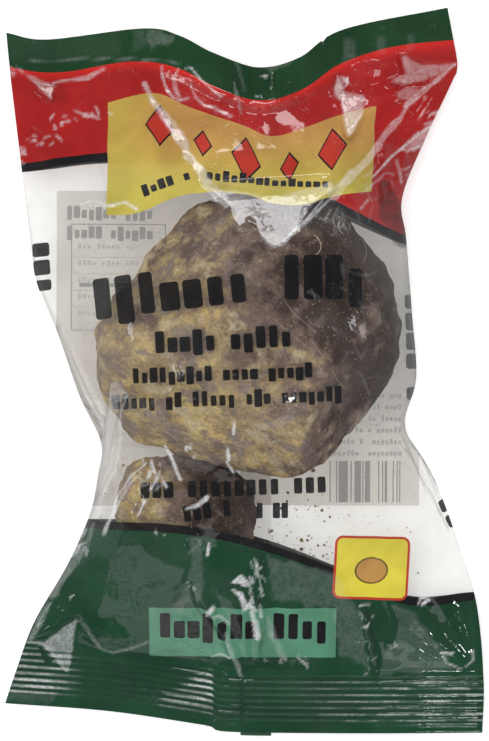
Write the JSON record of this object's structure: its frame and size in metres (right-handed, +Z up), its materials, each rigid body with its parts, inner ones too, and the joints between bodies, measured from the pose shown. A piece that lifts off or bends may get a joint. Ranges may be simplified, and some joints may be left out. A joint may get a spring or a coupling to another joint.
{
  "type": "bagged jaggery lump",
  "caption": "Clear printed pillow bag, crimp-sealed at its ends and drawn tight round a jaggery ball and a broken-off piece, lying on its back with the print up.",
  "frame": {"origin": "on the surface that the bag lies on, under the middle of its outline", "axes": "+Z up through the printed front, +Y towards the top seal, +X to the right as the print is read"},
  "size_m": [0.1528, 0.2312, 0.057],
  "materials": {
    "printed_film": "clear glossy film over brown jaggery, with opaque green and red printed bands",
    "jaggery": "matt, crumbly, mottled dark brown and honey yellow"
  },
  "bodies": {
    "root": {"bag": "printed_film"}
  },
  "joints": []
}
